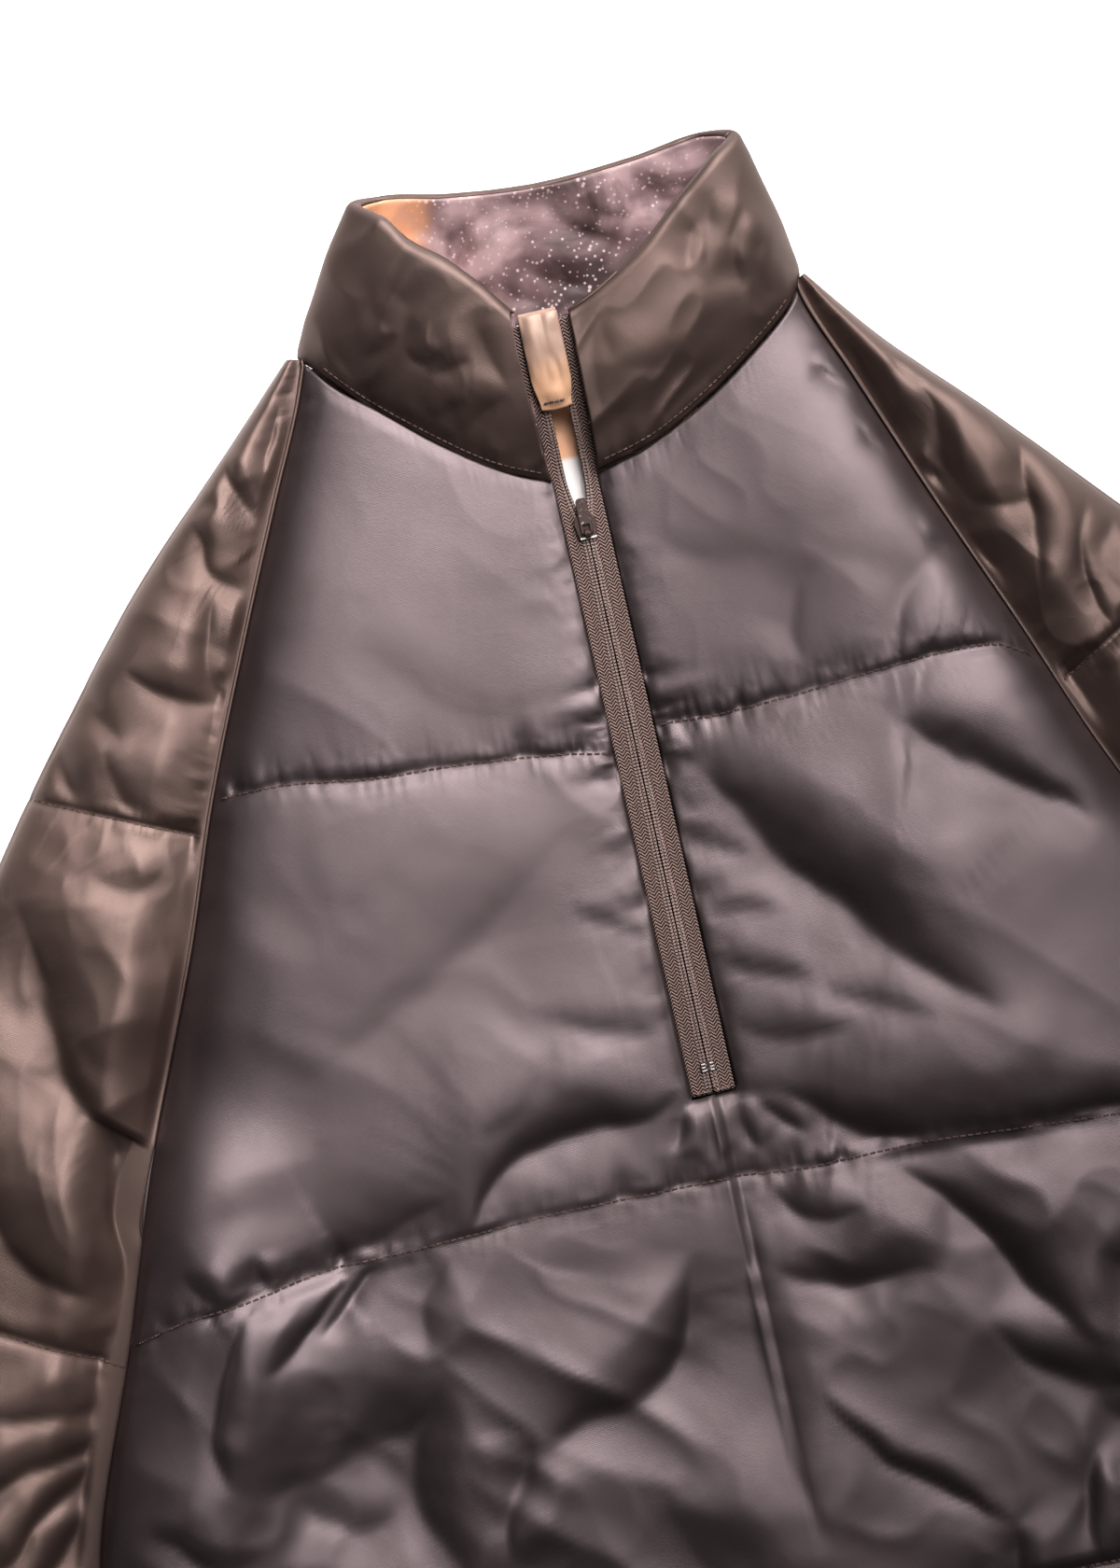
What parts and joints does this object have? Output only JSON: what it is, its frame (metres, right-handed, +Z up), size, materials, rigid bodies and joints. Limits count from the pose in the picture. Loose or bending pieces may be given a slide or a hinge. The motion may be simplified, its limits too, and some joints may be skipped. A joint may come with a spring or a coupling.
{
  "type": "insulated pullover jacket",
  "caption": "Padded half-zip pullover jacket with raglan sleeves and a stand collar, laid flat face up, open above the zip slider.",
  "frame": {"origin": "on the flat underside of the back, under the centre front, 260 mm below the neck seam", "axes": "+X to the right of the jacket as it is looked at from above, +Y from the hem to the collar, +Z up out of the front"},
  "size_m": [1.037, 0.7751, 0.0504],
  "materials": {
    "body_cloth": "satin taffeta",
    "sleeve_cloth": "satin taffeta",
    "facing_cloth": "printed satin",
    "pale_cloth": "plain lining",
    "peach_cloth": "satin",
    "tape_cloth": "woven tape",
    "brown_paint": "satin paint",
    "bare_metal": "polished"
  },
  "bodies": {
    "jacket": {"front_panel": "body_cloth", "back_panel": "body_cloth", "back_neck_lining": "pale_cloth", "sleeve_left": "sleeve_cloth", "sleeve_right": "sleeve_cloth", "collar_shell": "sleeve_cloth", "collar_lining": "facing_cloth", "zip_tape_left": "tape_cloth", "zip_tape_right": "tape_cloth", "zip_slider": "brown_paint", "zip_bottom_stop": "bare_metal", "zip_garage": "peach_cloth"},
    "zip_pull": {"zip_pull": "brown_paint"}
  },
  "joints": [
    {"name": "pull_hinge", "type": "hinge", "parent": "jacket", "child": "zip_pull", "pos_m": [0, 0.2344, 0.02686], "axis": [1, 0, 0], "range_deg": [0, 165]}
  ]
}
